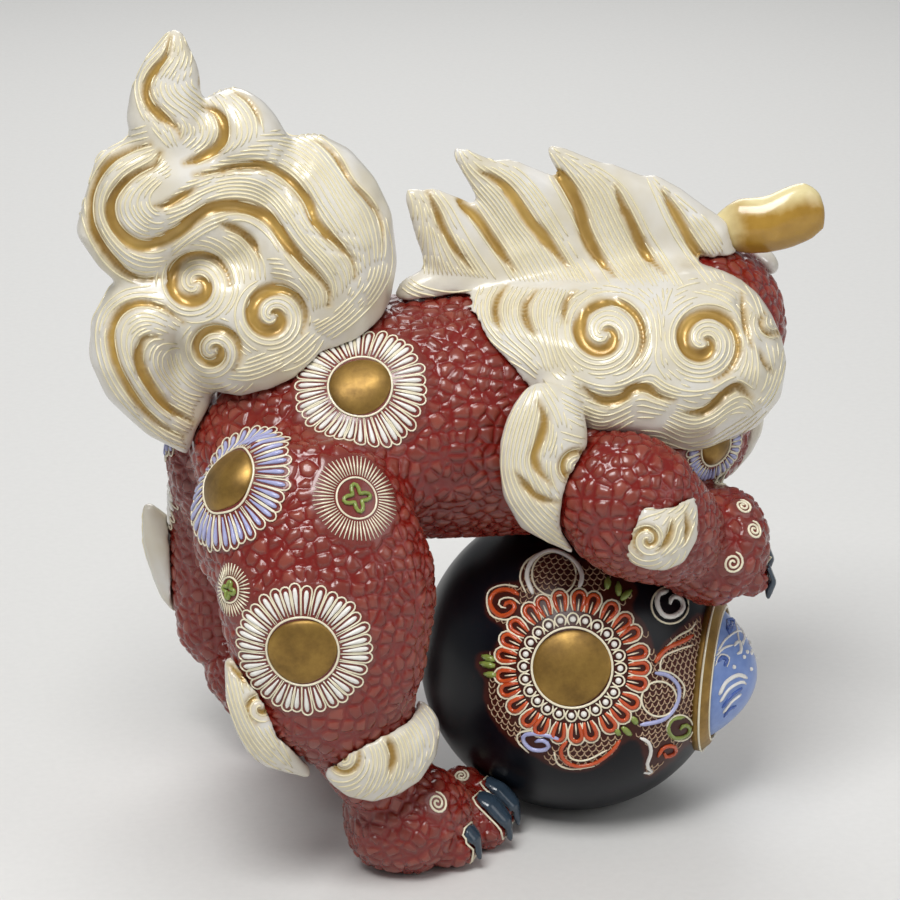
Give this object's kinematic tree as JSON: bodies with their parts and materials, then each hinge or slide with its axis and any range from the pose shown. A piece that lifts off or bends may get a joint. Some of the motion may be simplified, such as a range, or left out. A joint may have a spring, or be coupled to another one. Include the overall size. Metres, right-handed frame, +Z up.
{
  "type": "guardian lion figurine",
  "caption": "Glazed stoneware guardian lion that crouches with both forepaws on a brocade ball, head turned over its shoulder and plumed tail raised; a free-standing ornament.",
  "frame": {"origin": "middle of the figure's bounding box in plan, on the surface it stands on", "axes": "+X the way the lion crouches, from rump to chest; +Y its left side, where its face looks; +Z up"},
  "size_m": [0.288, 0.177, 0.3182],
  "materials": {
    "red_glaze": "glossy oxblood glaze over a pebbled hide",
    "cream_glaze": "glossy cream glaze with fine raised slip lines and gilt grooves",
    "navy_glaze": "smooth blue-black glaze with raised slip enamel",
    "blue_glaze": "satin light blue glaze with raised white slip",
    "gilding": "satin burnished gold over the glaze",
    "claw_glaze": "glossy slate blue glaze edged with cream slip",
    "white_glaze": "glossy white glaze",
    "yellow_glaze": "glossy yellow glaze, paler towards the edges"
  },
  "bodies": {
    "root": {"ball": "navy_glaze", "ball_panel": "blue_glaze", "ball_panel_rim": "gilding", "torso": "red_glaze", "head": "red_glaze", "lower_jaw": "red_glaze", "nose": "gilding", "eye_right": "white_glaze", "brow_right": "cream_glaze", "fang_right": "white_glaze", "ear_right": "yellow_glaze", "eye_left": "white_glaze", "brow_left": "cream_glaze", "fang_left": "white_glaze", "ear_left": "yellow_glaze", "mane_right": "cream_glaze", "mane_left": "cream_glaze", "tail_plume": "cream_glaze", "tail_lower_lobe": "cream_glaze", "hind_leg_right": "red_glaze", "hind_paw_right": "red_glaze", "hind_claw_right_1": "claw_glaze", "hind_claw_right_2": "claw_glaze", "hind_claw_right_3": "claw_glaze", "heel_tuft_right": "cream_glaze", "ankle_tuft_right": "cream_glaze", "hind_leg_left": "red_glaze", "hind_paw_left": "red_glaze", "hind_claw_left_1": "claw_glaze", "hind_claw_left_2": "claw_glaze", "hind_claw_left_3": "claw_glaze", "heel_tuft_left": "cream_glaze", "ankle_tuft_left": "cream_glaze", "foreleg_right": "red_glaze", "forepaw_right": "red_glaze", "fore_claw_right_1": "claw_glaze", "fore_claw_right_2": "claw_glaze", "fore_claw_right_3": "claw_glaze", "wrist_tuft_right": "cream_glaze", "foreleg_left": "red_glaze", "forepaw_left": "red_glaze", "fore_claw_left_1": "claw_glaze", "fore_claw_left_2": "claw_glaze", "fore_claw_left_3": "claw_glaze", "wrist_tuft_left": "cream_glaze", "mane_flap_right": "cream_glaze", "mane_flap_left": "cream_glaze", "mane_crest": "cream_glaze", "beard": "cream_glaze"}
  },
  "joints": []
}
